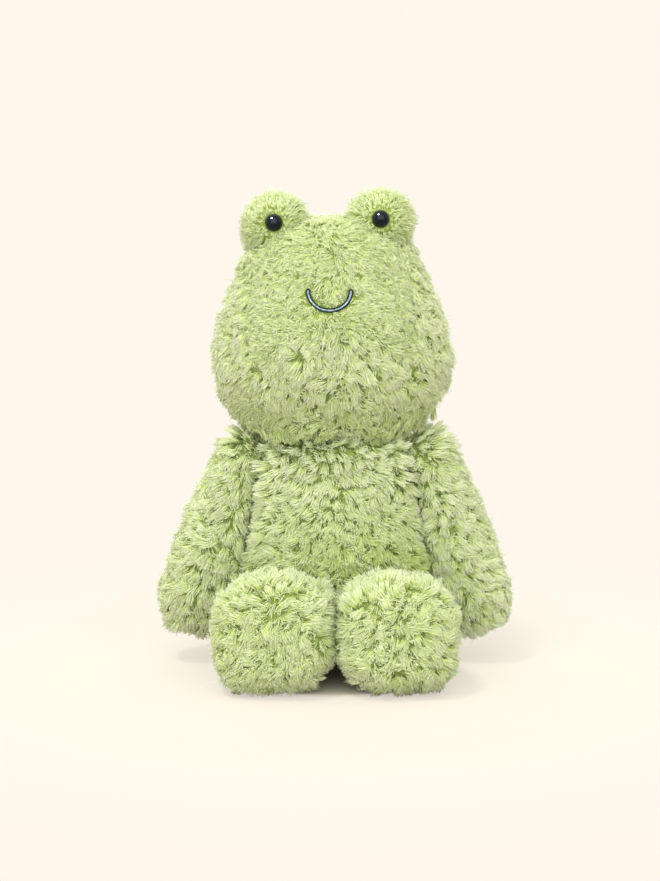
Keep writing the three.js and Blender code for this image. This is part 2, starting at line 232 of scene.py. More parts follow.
def pile_material():
    """The strands: V runs from a strand's root to its tip, painted darker at the root as shade
    among the tufts and paler at the tip as light; U is its tone, deep to pale, random and also
    deepened where a piece paints shade.
    """
    made, nt, shader = material(
        "Pile", 0.85, Sheen_Weight=0.32, Sheen_Roughness=0.5, Sheen_Tint=(0.92, 1.0, 0.78, 1)
    )
    shader.inputs["Specular IOR Level"].default_value = 0.25
    uv, split = add(nt, "UVMap", uv_map="OFBake"), add(nt, "SeparateXYZ")
    wire(uv.outputs["UV"], split.inputs[0])
    mix = add(nt, "Mix", data_type="RGBA")
    wire(split.outputs["X"], mix.inputs["Factor"])
    # Deep and pale tones, each painted from a shaded root to a lit tip.
    for socket, root, middle, tip in (
        ("A", (146, 168, 74), (189, 208, 110), (216, 232, 146)),
        ("B", (168, 190, 88), (223, 239, 160), (247, 253, 219)),
    ):
        colour = ramp(nt, [(0.0, srgb(*root)), (0.45, srgb(*middle)), (1.0, srgb(*tip))])
        wire(split.outputs["Y"], colour.inputs[0])
        wire(colour.outputs[0], mix.inputs[socket])
    wire(mix.outputs["Result"], shader.inputs["Base Color"])
    return made


PILE = pile_material()
# The backing's grain is the knit's own; its dark colour is painted shade, as it is seen only
# between the tufts.
BACKING = grainy(  # the knitted ground of the plush, seen only between the tufts
    "Plush_backing", 0.95, (132, 152, 70), (160, 180, 92), 420, 3, (1, 0.0006), Sheen_Weight=0.3
)
SATIN = grainy(
    "Satin_thread", 0.45, (116, 144, 160), (206, 218, 224), 800, 2,
    Sheen_Weight=0.4, Specular_IOR_Level=0.4, Anisotropic=0.4,
)
EDGING = grainy(
    "Edging_thread", 0.45, (14, 32, 38), (34, 62, 68), 1500, 2,
    Sheen_Weight=0.1, Specular_IOR_Level=0.1, Anisotropic=0.4,
)
BEAD = grainy(
    "Bead_plastic", 0.05, (3, 5, 8), (6, 9, 13), 260, 4, (0.01, 0.0001),
    Specular_IOR_Level=0.33, Specular_Tint=(0.8, 0.92, 1, 1),
)
WASHER = grainy("Washer_plastic", 0.4, (222, 222, 216), (236, 236, 230), 260, 4, (0.1, 0.0001))

# ---------- sizes, in millimetres

AXIS_Y = 1000 * next(j for j in frame["joints"] if j["name"] == "neck_nod")["pos_m"][1]
SIDES = (("left", 1), ("right", -1))

# A ball of one backing sits in a cup of the next. These are their radii.
NECK = np.array([0, AXIS_Y, 126.0])
NECK_BALL, NECK_CUP = 20.0, 20.6
LEAN = math.radians(2)  # of the head, to its own right
HEAD_BASE = 138.0
SHOULDER = np.array([51.0, AXIS_Y, 118.0])
SHOULDER_BALL, SHOULDER_CUP = 15.0, 15.7
SHOULDER_END = 19.0  # radius of the arm's round end, with its pile
SPLAY = math.radians(20)  # of the arms
ARM_AXIS = np.array([math.sin(SPLAY), 0, -math.cos(SPLAY)])

HIP = np.array([30.0, AXIS_Y - 15, 25.5])
FOOT = np.array([34.9, AXIS_Y - 69, 33.0])
LEG_AXIS = (FOOT - HIP) / np.linalg.norm(FOOT - HIP)
LEG_FALL = math.radians(60)  # how far a leg hangs down at its joint's limit
SOLE = 28  # from the foot's middle to its sole, along the leg
THIGH_BALL = 26
POCKET_BAR = 26.8  # radius of the torso's pocket for the thighs
POCKET_SLOPE = 30.55  # how far the pocket's slope lies from the hips' axis
POCKET_TOP = 42  # where the belly ends between the thighs
POCKET_ROOM = 3.0  # how much further the backing stays away, for the pile

BUMP = np.array([30.0, AXIS_Y - 6, 256.0])
BUMP_RADII = np.array([20, 19, 19.5])
EYE = np.array([30.0, AXIS_Y - 22, 259.0])
EYE_RADIUS = 5
MOUTH_Z = HEAD_BASE + 84.2
MOUTH_RADIUS = 12.0
MOUTH_TILT = math.radians(-2.6)  # levels the smile on the leaning head
MOUTH_RISE = 0.87  # its depth as a share of a half circle's
MOUTH_HALF = 0.5  # of the satin band's width
STITCHES = 92
PLY_TWIST = 1.5  # length of one turn of the edging's plies

# How far the backing lies inside the pile's tips: in the long pile, on the face, and where
# two parts press together.
COARSE, FINE, FLAT = 4.6, 2.2, 1.6
LONG = 8.2  # length of the long pile's strands
APART, CLOSEST = 3.9, 3.3  # usual and least distance of the long pile's tufts
TUFT_OFF_MOUTH, STRAND_OFF_MOUTH = 1.2, 1.3  # how near they come to the smile's middle
TUFT_OFF_EYE, STRAND_OFF_EYE = 4.6, 4.95  # how near they come to the eye's middle
FLOOR_GAP = 0.15

# A stuffed form has a length, a width and a depth, two powers that square its section, and
# stations along it: a share of its length, of its width and of its depth.
TORSO = dict(
    size=(136.5, 110, 88),
    round=(0.91, 0.91),
    shares=[
        (0, 0, 0), (0.003, 0.5, 0.5), (0.03, 0.7, 0.69), (0.09, 0.84, 0.83), (0.2, 0.95, 0.94),
        (0.34, 1, 1), (0.52, 0.97, 0.96), (0.72, 0.91, 0.86), (0.87, 0.86, 0.74),
        (0.955, 0.76, 0.6), (0.992, 0.5, 0.36), (1, 0, 0),
    ],
)
HEAD = dict(
    size=(122, 138, 106),
    round=(0.91, 0.91),
    shares=[
        (0, 0, 0), (0.008, 0.5, 0.45), (0.035, 0.74, 0.68), (0.1, 0.87, 0.83), (0.19, 0.955, 0.94),
        (0.32, 1, 1), (0.46, 0.965, 0.985), (0.6, 0.885, 0.93), (0.72, 0.795, 0.84),
        (0.84, 0.7, 0.72), (0.93, 0.58, 0.57), (0.985, 0.33, 0.32), (1, 0, 0),
    ],
)
ARM = dict(
    size=(110, 48, 42),
    round=(0.91, 0.91),
    shares=[
        (0, 0, 0), (0.004, 0.7, 0.8), (0.03, 0.8, 0.9), (0.12, 0.89, 0.95), (0.28, 0.96, 0.99),
        (0.5, 1, 1), (0.74, 0.97, 0.98), (0.89, 0.86, 0.88), (0.97, 0.62, 0.64), (1, 0, 0),
    ],
)
LEG = dict(
    size=(np.linalg.norm(FOOT - HIP) + SOLE, 69, 67),
    round=(0.87, 0.59),
    shares=[
        (0, 0, 0), (0.004, 0.68, 0.7), (0.03, 0.75, 0.77), (0.2, 0.86, 0.87), (0.42, 0.96, 0.96),
        (0.66, 1, 1), (0.84, 0.97, 0.97), (0.94, 0.86, 0.86), (0.99, 0.62, 0.62), (1, 0, 0),
    ],
)

# ---------- forms


def unit(v):
    return v / np.maximum(np.linalg.norm(v, axis=-1, keepdims=True), 1e-9)


def smoothstep(a, b, x):
    t = np.clip((x - a) / (b - a), 0, 1)
    return t * t * (3 - 2 * t)


def monotone(x, y, at):
    """A smooth curve through points that swells nowhere between them."""
    step, rise = np.diff(x), np.diff(y)
    slope = rise / step
    tangent = np.zeros_like(y)
    same = slope[:-1] * slope[1:] > 0
    w1, w2 = 2 * step[1:] + step[:-1], step[1:] + 2 * step[:-1]
    with np.errstate(divide="ignore", invalid="ignore"):
        mean = (w1 + w2) / (w1 / slope[:-1] + w2 / slope[1:])
    tangent[1:-1] = np.where(same, mean, 0)
    tangent[0], tangent[-1] = slope[0], slope[-1]
    k = np.clip(np.searchsorted(x, at) - 1, 0, len(step) - 1)
    h, t = step[k], (at - x[k]) / step[k]
    return (
        y[k] * (1 + 2 * t) * (1 - t) ** 2
        + tangent[k] * h * t * (1 - t) ** 2
        + y[k + 1] * t**2 * (3 - 2 * t)
        + tangent[k + 1] * h * t**2 * (t - 1)
    )


def skin(rows, around):
    """Faces over rings of points, closed at the ends by two points that come last."""
    row = np.arange(rows - 1)[:, None] * around
    here, onward = row + np.arange(around), row + (np.arange(around) + 1) % around
    faces = np.stack([here, onward, onward + around, here + around], -1).reshape(-1, 4).tolist()
    low, last = rows * around, (rows - 1) * around
    for i in range(around):
        j = (i + 1) % around
        faces += [(low, j, i), (low + 1, last + i, last + j)]
    return faces


def form(size, round, shares, rows=56, around=96):
    """A stuffed form on the origin along +Z, as points and four-sided faces with closed ends."""
    length, width, depth = size
    table = np.array(shares, float)
    route = np.hypot(np.diff(table[:, 0]) * length, np.diff(table[:, 1]) * width / 2)
    route = np.concatenate([[0], np.cumsum(route)])
    at = np.linspace(0, route[-1], rows)[1:-1]
    along, wide, deep = (monotone(route, table[:, c], at) for c in range(3))
    turn = TURN * np.arange(around) / around
    power = np.where(turn > math.pi, round[1], round[0])
    across = np.sign(np.cos(turn)) * np.abs(np.cos(turn)) ** power
    over = np.sign(np.sin(turn)) * np.abs(np.sin(turn)) ** power
    x = np.outer(wide * width / 2, across)
    y = np.outer(deep * depth / 2, over)
    z = np.repeat(along[:, None] * length, around, 1)
    points = np.vstack([np.stack([x, y, z], -1).reshape(-1, 3), [[0, 0, 0], [0, 0, length]]])
    return points, skin(len(at), around)


def sphere(centre, sizes, rows=32, around=48):
    """A ball, or an ellipsoid of three diameters."""
    polar = math.pi * np.arange(1, rows) / rows
    turn = TURN * np.arange(around) / around
    ring = np.stack(
        [
            np.outer(np.sin(polar), np.cos(turn)),
            np.outer(np.sin(polar), np.sin(turn)),
            -np.outer(np.cos(polar), np.ones(around)),
        ],
        -1,
    ).reshape(-1, 3)
    points = np.vstack([ring, [[0, 0, -1], [0, 0, 1]]]) * np.array(sizes) / 2 + centre
    return points, skin(rows - 1, around)


def turned(points, angle, axis, about=(0, 0, 0)):
    """Points turned about an axis, 0 to 2 for X to Z, through a place."""
    c, s = math.cos(angle), math.sin(angle)
    m = np.eye(3)
    i, j = [(1, 2), (2, 0), (0, 1)][axis]
    m[i, i], m[i, j], m[j, i], m[j, j] = c, -s, s, c
    return (points - np.asarray(about)) @ m.T + about


def leaned(points):
    """Head points, as the head leans to its own right on the neck."""
    return turned(points, -LEAN, 1, NECK)


def mesh_of(name, points, faces):
    mesh = bpy.data.meshes.new(name)
    mesh.from_pydata((np.asarray(points) * MM).tolist(), [], faces)
    mesh.update()
    return mesh


def normals_of(mesh):
    n = np.zeros(len(mesh.vertices) * 3, np.float32)
    mesh.vertex_normals.foreach_get("vector", n)
    return n.reshape(-1, 3).astype(float)


def points_of(mesh):
    co = np.zeros(len(mesh.vertices) * 3, np.float32)
    mesh.vertices.foreach_get("co", co)
    return co.reshape(-1, 3).astype(float) / MM


def move_to(mesh, points):
    mesh.vertices.foreach_set("co", (points * MM).astype(np.float32).ravel())
    mesh.update()


def inset(points, faces, depth):
    """The form drawn in along its normals, by a depth that may differ from point to point."""
    mesh = mesh_of("inset", points, faces)
    normals = normals_of(mesh)
    bpy.data.meshes.remove(mesh)
    if callable(depth):
        depth = depth(points)[:, None]
    return points - normals * depth, faces


def together(*parts):
    """Closed forms as one mesh."""
    points, faces, base = [], [], 0
    for p, f in parts:
        points.append(p)
        faces += [tuple(i + base for i in face) for face in f]
        base += len(p)
    return np.vstack(points), faces


def applied(obj, kind, **settings):
    """Puts a modifier on an object and applies it."""
    modifier = obj.modifiers.new(kind, kind)
    for key, value in settings.items():
        setattr(modifier, key, value)
    evaluated = obj.evaluated_get(bpy.context.evaluated_depsgraph_get())
    mesh = bpy.data.meshes.new_from_object(evaluated)
    obj.modifiers.clear()
    old, obj.data = obj.data, mesh
    bpy.data.meshes.remove(old)


def backing(name, parts, cutters=(), voxel=2.0, floor=None):
    """The stuffed fabric under the pile: closed forms joined, cut, and made one smooth surface."""
    obj = link(bpy.data.objects.new(name, mesh_of(name, *together(*parts))))
    applied(obj, "REMESH", mode="VOXEL", voxel_size=voxel * MM, use_smooth_shade=True)
    for points, faces in cutters:
        tool = link(bpy.data.objects.new("cutter", mesh_of("cutter", points, faces)))
        applied(obj, "BOOLEAN", operation="DIFFERENCE", object=tool, solver="EXACT")
        bpy.data.objects.remove(tool)
    if cutters:
        applied(obj, "REMESH", mode="VOXEL", voxel_size=voxel * MM, use_smooth_shade=True)
    applied(obj, "SMOOTH", factor=0.5, iterations=6)
    if floor is not None:
        points = points_of(obj.data)
        points[:, 2] = np.maximum(points[:, 2], floor)
        move_to(obj.data, points)
    obj.data.materials.clear()
    obj.data.materials.append(BACKING)
    return obj


# ---------- pile

RINGS = (0.0, 0.5, 1.0)  # places along a strand, which is a three-sided rod
RING_WIDTHS = (0.85, 1.0, 0.78)
RIMS = ((0, 1), (1, 2), (2, 0), (3, 4), (4, 5), (5, 3))
FLANKS = [f for p, q in RIMS for f in ((p, q, q + 3), (p, q + 3, p + 3))]
CORNERS = np.array([(0, 2, 1), (6, 7, 8)] + FLANKS)  # of a strand's triangles
POINTS, TRIANGLES = 9, len(CORNERS)  # of one strand
MOST_TRIANGLES = 190000  # of one piece
CROWD = 7.0  # roots tried for each that may find room


def per_tuft(value, roots, norms):
    """A value for each tuft, from one number or from a function of its place and normal."""
    return value(roots, norms) if callable(value) else np.full(len(roots), float(value))


def sown(mesh, spacing, smallest):
    """Tuft roots spread over a mesh, no two nearer than the spacing at their place."""
    mesh.calc_loop_triangles()
    count = len(mesh.loop_triangles)
    tri = np.zeros(count * 3, np.int32)
    mesh.loop_triangles.foreach_get("vertices", tri)
    tri = tri.reshape(-1, 3)
    points, normals = points_of(mesh), normals_of(mesh)
    a, b, c = (points[tri[:, k]] for k in range(3))
    area = np.linalg.norm(np.cross(b - a, c - a), axis=1) / 2
    n = int(CROWD * area.sum() / (smallest**2))
    pick = rng.choice(count, n, p=area / area.sum())
    u, v = np.sqrt(rng.random(n)), rng.random(n)
    w = np.stack([1 - u, u * (1 - v), u * v], -1)[:, :, None]
    roots = (w * points[tri[pick]]).sum(1)
    norms = unit((w * normals[tri[pick]]).sum(1))
    gap = per_tuft(spacing, roots, norms)
    tree = KDTree(n)
    for i, p in enumerate(roots):
        tree.insert(p, i)
    tree.balance()
    alive = gap > 0
    for i in range(n):
        if alive[i]:
            for _, j, _ in tree.find_range(roots[i], gap[i]):
                if j > i:
                    alive[j] = False
    return roots[alive], norms[alive]


def waves(points, size, seed):
    """A smooth random field between about -1 and 1 whose patches have a given size."""
    pick, count = np.random.default_rng(seed), 6
    directions = unit(pick.normal(size=(count, 3)))
    phase = pick.random(count) * TURN
    scale = pick.uniform(0.7, 1.4, count) * TURN / (2 * size)
    return np.sin(points @ (directions * scale[:, None]).T + phase).sum(1) / math.sqrt(count)


def turn_about(v, axis, angle):
    """Vectors, each turned about its own axis by its own angle."""
    c, s = np.cos(angle)[:, None], np.sin(angle)[:, None]
    return v * c + np.cross(axis, v) * s + axis * (axis * v).sum(1, keepdims=True) * (1 - c)


def strands(roots, norms, comb, lift, length, gap, tone, each, thick, loose, ragged, drop, seed):
    """Strands in tufts, as points and tones.

    A tuft is a blunt, flattened brush: its strands leave the ground near the normal, bend over
    along the comb direction side by side, and end level with one another.
    """
    pick = np.random.default_rng(seed)
    total = len(roots) * each
    tangent = unit(comb - norms * (comb * norms).sum(1, keepdims=True))

    def per(a):
        return np.repeat(a, each, 0)

    r, turn = np.sqrt(pick.random(total)), pick.random(total) * TURN
    a, b, c = r * np.cos(turn), r * np.sin(turn), pick.uniform(-1, 1, total)
    normal, along, aside = per(norms), per(tangent), per(np.cross(norms, tangent))
    wide = per(gap)[:, None]
    root = per(roots) + (along * (a * 0.44)[:, None] + aside * (b * 0.48)[:, None]) * wide
    root -= normal * 0.5
    long = per(length) * pick.uniform(0.86 - ragged, 1.08 + ragged / 2, total)
    rise = per(lift) + pick.normal(0, 0.05, total) * per(loose)
    swing = 0.16 * b + pick.normal(0, 0.1, total) * per(loose)
    lean = along * np.cos(swing)[:, None] + aside * np.sin(swing)[:, None]
    early = np.minimum(rise * 0.5 + 0.75, 1.5)
    start = normal * np.sin(early)[:, None] + lean * np.cos(early)[:, None]
    final = normal * np.sin(rise)[:, None] + lean * np.cos(rise)[:, None]
    fan = (aside * (b * 0.08)[:, None] + normal * (c * 0.14)[:, None]) * wide
    curl = aside * (per(pick.normal(0, 0.1, len(roots))) * long)[:, None]
    kink = aside * pick.normal(0, 0.05, total)[:, None]
    kink = (kink + normal * pick.normal(0, 0.04, total)[:, None]) * (long * per(loose))[:, None]
    control = root + start * (long * 0.45)[:, None] + fan * 0.5 - curl + kink
    tip = root + final * long[:, None] + fan + curl

    def point(t):
        return root * (1 - t) ** 2 + control * 2 * t * (1 - t) + tip * t**2

    shade = 0.5 + 0.5 * np.clip(per(tone) + pick.normal(0, 0.07, total), -0.98, 0.99)
    size = per(thick) * pick.uniform(0.85, 1.15, total)
    spin = pick.random(total) * TURN
    heading = unit(tip - root)
    first = unit(np.cross(heading, aside + normal * 0.3))
    second = np.cross(heading, first)
    rings = []
    for t, width in zip(RINGS, RING_WIDTHS):
        centre = point(t)
        for k in range(3):
            angle = spin + TURN * k / 3
            off = first * np.cos(angle)[:, None] + second * np.sin(angle)[:, None]
            rings.append(centre + off * (size * width / 2)[:, None])
    points = np.stack(rings, 1)
    if drop is not None:
        kept = ~(drop(point(0.35)) | drop(point(0.7)) | drop(point(1.0)))
        points, shade = points[kept], shade[kept]
    return points, shade


def pile_object(name, points, shade, body):
    """One piece of pile, which rides on a body."""
    many = len(points)
    faces = (CORNERS[None] + (np.arange(many) * POINTS)[:, None, None]).reshape(-1, 3)
    count = len(faces)
    mesh = bpy.data.meshes.new(name)
    mesh.vertices.add(many * POINTS)
    mesh.vertices.foreach_set("co", (points * MM).astype(np.float32).ravel())
    mesh.loops.add(count * 3)
    mesh.loops.foreach_set("vertex_index", faces.astype(np.int32).ravel())
    mesh.polygons.add(count)
    mesh.polygons.foreach_set("loop_start", np.arange(0, count * 3, 3, dtype=np.int32))
    mesh.update(calc_edges=True)
    mesh.polygons.foreach_set("use_smooth", np.ones(count, bool))
    layer = mesh.uv_layers.new(name="OFBake")
    u = np.repeat(shade, POINTS)
    v = np.tile(np.repeat(RINGS, 3), many)
    corner = faces.ravel()
    layer.data.foreach_set("uv", np.stack([u[corner], v[corner]], -1).astype(np.float32).ravel())
    mesh.materials.append(PILE)
    obj = link(bpy.data.objects.new(name, mesh))
    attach(obj, body)


def pile(
    name, body, obj, spacing, smallest, comb, lift, length, tone, seed, post, keep=None, drop=None,
    each=34, thick=0.44, loose=1.0, swirl=1.0, ragged=0.0,
):
    """Pile all over a backing, split into pieces of a size that exports well.

    What describes a tuft is a number or a function of its place and normal. keep says which
    tufts stay, drop takes out the strands that pass some place, and post moves all points last.
    """
    roots, norms = sown(obj.data, spacing, smallest)
    if keep is not None:
        kept = keep(roots, norms)
        roots, norms = roots[kept], norms[kept]
    pick = np.random.default_rng(seed)
    count = len(roots)

    def each_of(value):
        return per_tuft(value, roots, norms)

    direction = comb(roots, norms)
    direction = direction - norms * (direction * norms).sum(1, keepdims=True)
    stray = 0.45 * waves(roots, 13, seed + 10) + 0.25 * waves(roots, 6, seed + 20)
    direction = turn_about(direction, norms, (stray + pick.normal(0, 0.34, count)) * each_of(swirl))
    rise = each_of(lift) + 0.14 * waves(roots, 9, seed + 30) + pick.normal(0, 0.11, count)
    long = each_of(length) * (1 + 0.08 * waves(roots, 8, seed + 40))
    long = long * pick.uniform(0.86, 1.12, count)
    shade = each_of(tone) + 0.12 * waves(roots, 12, seed + 50) + pick.normal(0, 0.14, count)
    points, shade = strands(
        roots, norms, direction, np.clip(rise, 0.12, 1.35), long, each_of(spacing), shade,
        each, each_of(thick), each_of(loose), ragged, drop, seed + 60,
    )
    points = post(points.reshape(-1, 3)).reshape(points.shape)
    pieces = max(1, math.ceil(len(points) * TRIANGLES / MOST_TRIANGLES))
    step = math.ceil(len(points) / pieces)
    for k in range(pieces):
        label = name if pieces == 1 else f"{name}_{k + 1}"
        part = slice(k * step, (k + 1) * step)
        pile_object(label, points[part], shade[part], body)


def undercoat(body, obj, seed, keep, post, reach, drop=None):
    """Fine short fibres among the tufts, longer where their reach is."""
    pile(
        f"{body}_undercoat", body, obj, spacing=2.7, smallest=2.7,
        comb=lambda p, n: np.stack([waves(p, 8, seed + k) for k in (1, 2, 3)], -1) - (0, 0, 0.3),
        lift=0.9, length=lambda p, n: 2.7 + 3.1 * reach(p), tone=0.55, seed=seed, keep=keep,
        each=11, thick=0.42, loose=2.4, ragged=0.3, post=post, drop=drop,
    )


def wisps(body, obj, seed, keep, post):
    """Single long fibres that stand out of the pile."""
    pile(
        f"{body}_wisps", body, obj, spacing=6.5, smallest=6.5,
        comb=lambda p, n: np.stack([waves(p, 6, seed + k) for k in (1, 2, 3)], -1) - (0, 0, 0.2),
        lift=1.0, length=lambda p, n: 8 - 2 * waves(p, 5, seed), tone=0.7, seed=seed, keep=keep,
        each=2, thick=0.26, loose=5, ragged=0.3, post=post,
    )


# ---------- where the forms stand


def mirrored(shape, k):
    """A form on the frog's left, or its mirror image on the right."""
    points, faces = shape
    return (points, faces) if k > 0 else (points * (-1, 1, 1), [tuple(f[::-1]) for f in faces])


def tree_of(shape):
    return BVHTree.FromPolygons(shape[0].tolist(), shape[1])


def stood(shape, place):
    """A form whose points are put in their place."""
    points, faces = form(**shape)
    return place(points), faces


leg_turn = np.array(Vector((0, 0, 1)).rotation_difference(Vector(LEG_AXIS)).to_matrix())
TORSO_FORM = stood(TORSO, lambda p: p + (0, AXIS_Y, -0.5))
HEAD_FORM = stood(HEAD, lambda p: p + (0, AXIS_Y, HEAD_BASE))
ARM_FORM = stood(ARM, lambda p: turned(p * (1, -1, -1), -SPLAY, 1) + SHOULDER)
LEG_FORM = stood(LEG, lambda p: p @ leg_turn.T + HIP)

TREES = {"torso": tree_of(TORSO_FORM), "head": tree_of((leaned(HEAD_FORM[0]), HEAD_FORM[1]))}
WHOLE_ARM = together(ARM_FORM, sphere(SHOULDER, (2 * SHOULDER_END,) * 3))
for side, k in SIDES:
    TREES[f"{side}_arm"] = tree_of(mirrored(WHOLE_ARM, k))
    TREES[f"{side}_leg"] = tree_of(mirrored(LEG_FORM, k))


def nearest(p, tree):
    """A form's nearest place to a point, the way out there, and how far out the point is."""
    place, normal, _, away = tree.find_nearest(p)
    return place, normal, math.copysign(away, (Vector(p) - place).dot(normal))


def distance(points, tree):
    """How far points stand outside a form, negative inside."""
    return np.array([nearest(p, tree)[2] for p in points])


def beside(points, *bodies):
    """How far points stand from the nearest of other bodies."""
    return np.min([distance(points, TREES[body]) for body in bodies], 0)


def pressed(away):
    """1 where another part presses on the pile."""
    return 1 - smoothstep(0.5, 7, away)


def creased(away):
    """1 where another part is near, and the pile of both fills the crease between them."""
    return smoothstep(2, 7, away) * (1 - smoothstep(13, 22, away))


def clear_of(points, tree, gap):
    """Points moved off a form's surface, so that they keep a gap to it."""
    made = points.copy()
    for i, p in enumerate(points):
        place, normal, away = nearest(p, tree)
        if away < gap:
            made[i] = place + normal * gap
    return made


def face_share(points):
    """1 where the pile is short: round the mouth, and up to the bumps and between them."""
    x, y, z = (points - (0, AXIS_Y, HEAD_BASE)).T
    low = smoothstep(56, 68, z + 0.012 * x**2)
    wide = 1 - smoothstep(30, 58, np.abs(x))
    front = 1 - smoothstep(-14, 16, y)
    return low * wide * front


def clamp_floor(points):
    points[:, 2] = np.maximum(points[:, 2], FLOOR_GAP)
    return points


# ---------- torso


def dressed(obj, body, fill, *nodes):
    """Puts a backing with its pile on a body, and hides the CAD nodes that it stands for."""
    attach(obj, body)
    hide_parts(*nodes)


def hip_cutters():
    """What the thighs' pockets take from the torso: a rounded bar on the hips' axis and a wedge."""
    bar, bar_faces = sphere((0, HIP[1], HIP[2]), (2 * (POCKET_BAR + POCKET_ROOM),) * 3)
    bar[:, 0] += np.where(bar[:, 0] > 0, HIP[0], -HIP[0])
    away = np.array([math.sin(LEG_FALL), -math.cos(LEG_FALL)])
    tangent = HIP[1:] + away * (POCKET_SLOPE + POCKET_ROOM)
    fall = (tangent[1] + 10) / math.sin(LEG_FALL)
    front, top = HIP[1] - 80, POCKET_TOP + POCKET_ROOM
    outline = [
        (front, -10), (tangent[0] - fall * math.cos(LEG_FALL), -10), tuple(tangent),
        (HIP[1], top), (front, top),
    ]
    around = [(i, (i + 1) % 5, (i + 1) % 5 + 5, i + 5) for i in range(5)]
    wedge = np.array([(x, y, z) for x in (-100, 100) for y, z in outline], float)
    return (bar, bar_faces), (wedge, [(4, 3, 2, 1, 0), (5, 6, 7, 8, 9), *around])


def torso_pieces():
    others = ("head", "left_arm", "right_arm")
    sockets = [sphere(SHOULDER * (k, 1, 1), (2 * SHOULDER_CUP,) * 3) for _, k in SIDES]

    def depth(p):
        off = beside(p, *others)
        filled = 4.0 * creased(off) * (np.abs(p[:, 0]) < 60)
        return COARSE - (COARSE - FLAT) * pressed(off) - filled

    obj = backing(
        "torso_backing",
        [inset(*TORSO_FORM, depth), sphere(NECK, (2 * NECK_BALL,) * 3)],
        [*hip_cutters(), *sockets],
    )

    def keep(p, n):
        ball = np.min([np.linalg.norm(p - SHOULDER * (k, 1, 1), axis=1) for _, k in SIDES], 0)
        neck = np.linalg.norm(p - NECK, axis=1)
        return (ball > SHOULDER_BALL + 2.4) & ((neck > NECK_CUP) | (p[:, 2] < NECK[2] - 4))

    def pocket(p):
        """1 on the faces that the hips turn against."""
        bar = np.hypot(p[:, 1] - HIP[1], p[:, 2] - HIP[2])
        return (1 - smoothstep(30.5, 34, bar)) * (p[:, 2] < 60)

    def press(p):
        return np.maximum(pressed(beside(p, *others)), pocket(p))

    def crease(p):
        return creased(beside(p, *others)) * (p[:, 2] > 105)

    def painted_belly_shade(p):
        """Painted shade: how much deeper the belly's tone is, most of all low down over the legs
        and on the frog's left, away from the key light.
        """
        x, z = p[:, 0], p[:, 2]
        low = 1.8 - 1.0 * smoothstep(60, 92, z) - 0.8 * smoothstep(92, 120, z)
        return low * (0.4 + 0.6 * smoothstep(-45, 5, x))

    def comb(p, n):
        x, y, z = (p - (0, AXIS_Y, 0)).T
        front = 1 - smoothstep(-10, 15, y)
        out = (0.5 + 0.6 * front) * np.tanh((x + 7 * waves(p, 24, 7)) / 24) * smoothstep(15, 60, z)
        top = smoothstep(108, 124, z)
        return np.stack([out * (1 - 0.75 * top), 0 * x, -0.62 + 0.45 * top], -1)

    def length(p, n):
        by_arms = 1.6 + 2 * smoothstep(28, 40, np.abs(p[:, 0]))
        return LONG - 4.4 * press(p) + by_arms * crease(p)

    pile(
        "torso_pile", "torso", obj,
        spacing=lambda p, n: APART + 1.6 * pocket(p), smallest=CLOSEST,
        comb=comb,
        lift=lambda p, n: 0.6 - 0.35 * press(p) + 0.4 * crease(p),
        length=length,
        # painted shade: the belly's front deeper low down and away from the key light, and darker
        # where another part presses on the pile
        tone=lambda p, n: 0.84 - painted_belly_shade(p) * (p[:, 1] < AXIS_Y) - 0.1 * press(p),
        keep=keep, seed=100, post=clamp_floor, swirl=0.75,
    )
    undercoat("torso", obj, 150, keep, clamp_floor, lambda p: 1 - press(p))
    wisps("torso", obj, 170, lambda p, n: keep(p, n) & (press(p) < 0.1), clamp_floor)
    dressed(obj, "torso", 0.8, "torso_skin", "torso_stuffing", "seat_pellet_pouch")


# ---------- mouth

UPRIGHT_HEAD = tree_of(HEAD_FORM)
C, S = math.cos(MOUTH_TILT), math.sin(MOUTH_TILT)


def mouth_gap(p):
    """How far points of the face lie from the middle of the smile, seen from ahead."""
    up = p[:, 2] - MOUTH_Z
    x, z = p[:, 0] * C + up * S, (up * C - p[:, 0] * S) / MOUTH_RISE
    ring = np.abs(np.hypot(x, z) - MOUTH_RADIUS)
    ends = np.hypot(np.abs(x) - MOUTH_RADIUS, z)
    return np.where(z < 0, ring, ends) + 100 * (p[:, 1] > AXIS_Y)


def on_face(x, z, height):
    """A place of the smile on the head's front, at a height over its outside, and the way out."""
    z *= MOUTH_RISE
    start = Vector((x * C - z * S, -300, MOUTH_Z + x * S + z * C))
    place, normal, _, _ = UPRIGHT_HEAD.ray_cast(start, Vector((0, 1, 0)))
    return np.array(place + normal * height), np.array(normal)


def rope(path, radius, up, closed=False):
    """A tube along a path, as points and faces, with flat ends where it is open."""
    path, count, sides = np.asarray(path), len(path), 6
    if closed:
        way = unit(np.roll(path, -1, 0) - np.roll(path, 1, 0))
    else:
        way = unit(np.gradient(path, axis=0))
    first = unit(np.cross(way, up))
    second = np.cross(first, way)
    turn = (TURN * np.arange(sides) / sides)[None, :, None]
    ring = first[:, None] * np.cos(turn) + second[:, None] * np.sin(turn)
    points = (path[:, None] + ring * radius).reshape(-1, 3)
    faces = []
    for i in range(count if closed else count - 1):
        j = (i + 1) % count
        for k in range(sides):
            m = (k + 1) % sides
            faces.append((i * sides + k, i * sides + m, j * sides + m, j * sides + k))
    if not closed:
        faces.append(tuple(range(sides))[::-1])
        faces.append(tuple((count - 1) * sides + k for k in range(sides)))
    return points, faces


def arc(centre, radius, start, end, count):
    """Points of an arc from one angle to another, as pairs."""
    turn = np.linspace(start, end, count)
    return [(centre + radius * math.cos(t), radius * math.sin(t)) for t in turn]


def fitting(name, parts, made, slot, *nodes):
    """A finished piece of the head from closed bodies that are still upright."""
    points, faces = together(*parts)
    mesh = mesh_of(name, leaned(points), faces)
    mesh.polygons.foreach_set("use_smooth", np.ones(len(mesh.polygons), bool))
    mesh.materials.append(made)
    obj = link(bpy.data.objects.new(name, mesh))
    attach(obj, "head")
    if nodes:
        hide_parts(*nodes)
    return obj


